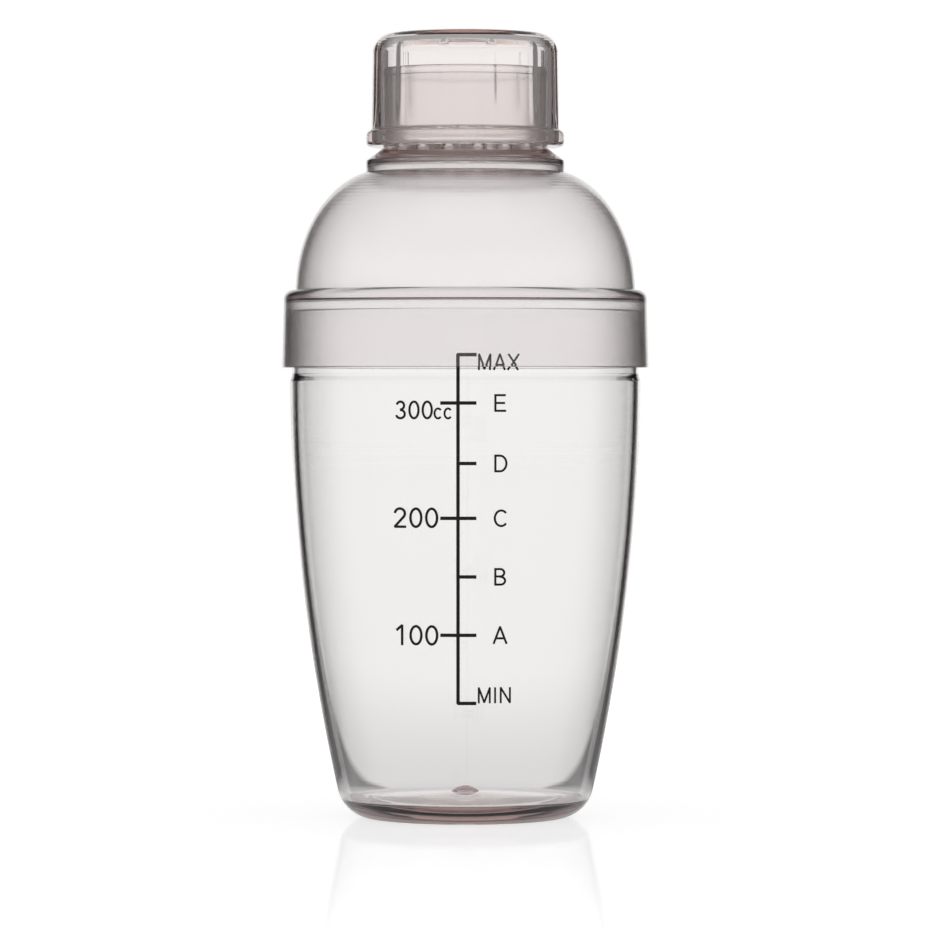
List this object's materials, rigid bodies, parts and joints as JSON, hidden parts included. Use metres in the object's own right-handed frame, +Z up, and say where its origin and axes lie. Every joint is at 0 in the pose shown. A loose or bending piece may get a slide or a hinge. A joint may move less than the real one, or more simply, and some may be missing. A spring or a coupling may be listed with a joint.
{
  "type": "shaker bottle",
  "caption": "Clear tinted shaker bottle: tapered cup with a printed volume scale, push-on domed top with a built-in strainer plate, and a fluted lift-off cap over the pouring neck.",
  "frame": {"origin": "centre of the foot ring, on the surface the bottle stands on", "axes": "+Z up along the bottle's axis; -Y is the front, which carries the printed scale; +X is to the right of someone reading it"},
  "size_m": [0.0818, 0.0818, 0.175],
  "materials": {
    "cup_plastic": "clear smoke-tinted, polished",
    "top_plastic": "clear smoke-tinted, polished",
    "cap_plastic": "clear smoke-tinted, polished",
    "black_ink": "matt screen-printed ink"
  },
  "bodies": {
    "cup": {"cup": "cup_plastic", "scale_print": "black_ink"},
    "strainer_top": {"strainer_top": "top_plastic"},
    "cap": {"cap": "cap_plastic"}
  },
  "joints": [
    {"name": "top_lift", "type": "slide", "parent": "cup", "child": "strainer_top", "axis": [0, 0, 1], "range_m": [0, 0.04]},
    {"name": "cap_lift", "type": "slide", "parent": "strainer_top", "child": "cap", "axis": [0, 0, 1], "range_m": [0, 0.03]}
  ]
}
